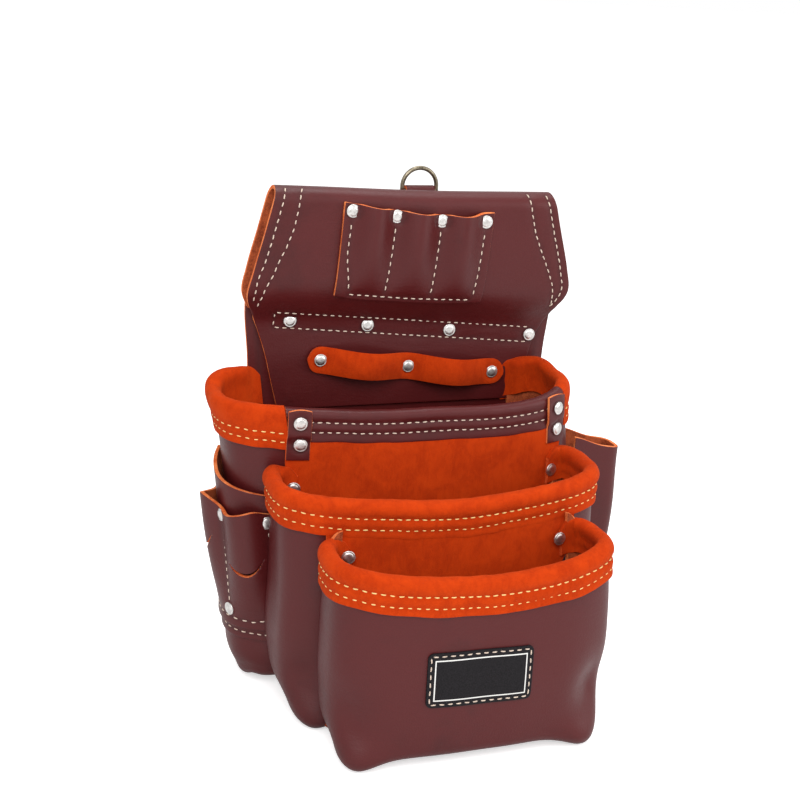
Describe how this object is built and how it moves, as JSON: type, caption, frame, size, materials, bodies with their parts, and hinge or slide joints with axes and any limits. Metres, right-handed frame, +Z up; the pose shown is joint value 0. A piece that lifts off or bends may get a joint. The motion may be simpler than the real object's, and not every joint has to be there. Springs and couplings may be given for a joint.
{
  "type": "electrician tool pouch",
  "caption": "Leather belt pouch with nested bags, tool loops, side pockets, a wrench sheath and a swinging ring",
  "frame": {"origin": "centre of the footprint of the pouch's box, on the surface it stands on", "axes": "+Z up, +Y towards the wearer's hip (the back panel's rear face looks along +Y), +X to the right as seen from the front"},
  "size_m": [0.2692, 0.1734, 0.3092],
  "materials": {
    "burgundy_leather": "smooth semi-gloss",
    "orange_suede": "napped suede",
    "nickel": "polished nickel",
    "dark_nickel": "dull",
    "black_label": "matt"
  },
  "bodies": {
    "root": {"back_panel": "burgundy_leather", "belt_flap": "burgundy_leather", "burrs_belt_seam": "nickel", "burrs_end_tab": "nickel", "burrs_front_bag": "nickel", "burrs_holder": "nickel", "burrs_mid_bag": "nickel", "burrs_plier_strap": "nickel", "burrs_ring_tab": "nickel", "burrs_strip": "nickel", "double_holder": "burgundy_leather", "end_tab_left": "burgundy_leather", "end_tab_right": "burgundy_leather", "front_bag_back": "orange_suede", "front_bag_binding": "orange_suede", "front_bag_body": "burgundy_leather", "label_patch": "black_label", "loop_strip": "burgundy_leather", "mid_bag_back": "orange_suede", "mid_bag_binding": "orange_suede", "mid_bag_body": "burgundy_leather", "plier_strap": "orange_suede", "rear_bag_body": "burgundy_leather", "rear_binding_front": "burgundy_leather", "rear_binding_left": "orange_suede", "rear_binding_right": "orange_suede", "ring_tab": "burgundy_leather", "rivets_belt_seam": "nickel", "rivets_end_tab": "nickel", "rivets_front_bag": "nickel", "rivets_holder": "nickel", "rivets_mid_bag": "nickel", "rivets_plier_strap": "nickel", "rivets_ring_tab": "nickel", "rivets_strip": "nickel", "side_sleeve": "burgundy_leather", "wrench_sheath": "burgundy_leather"},
    "ring": {"d_ring": "dark_nickel"}
  },
  "joints": [
    {"name": "ring_swing", "type": "hinge", "parent": "root", "child": "ring", "pos_m": [0.0026, 0.08162, 0.294], "axis": [1, 0, 0], "range_deg": [-150, 45]}
  ]
}
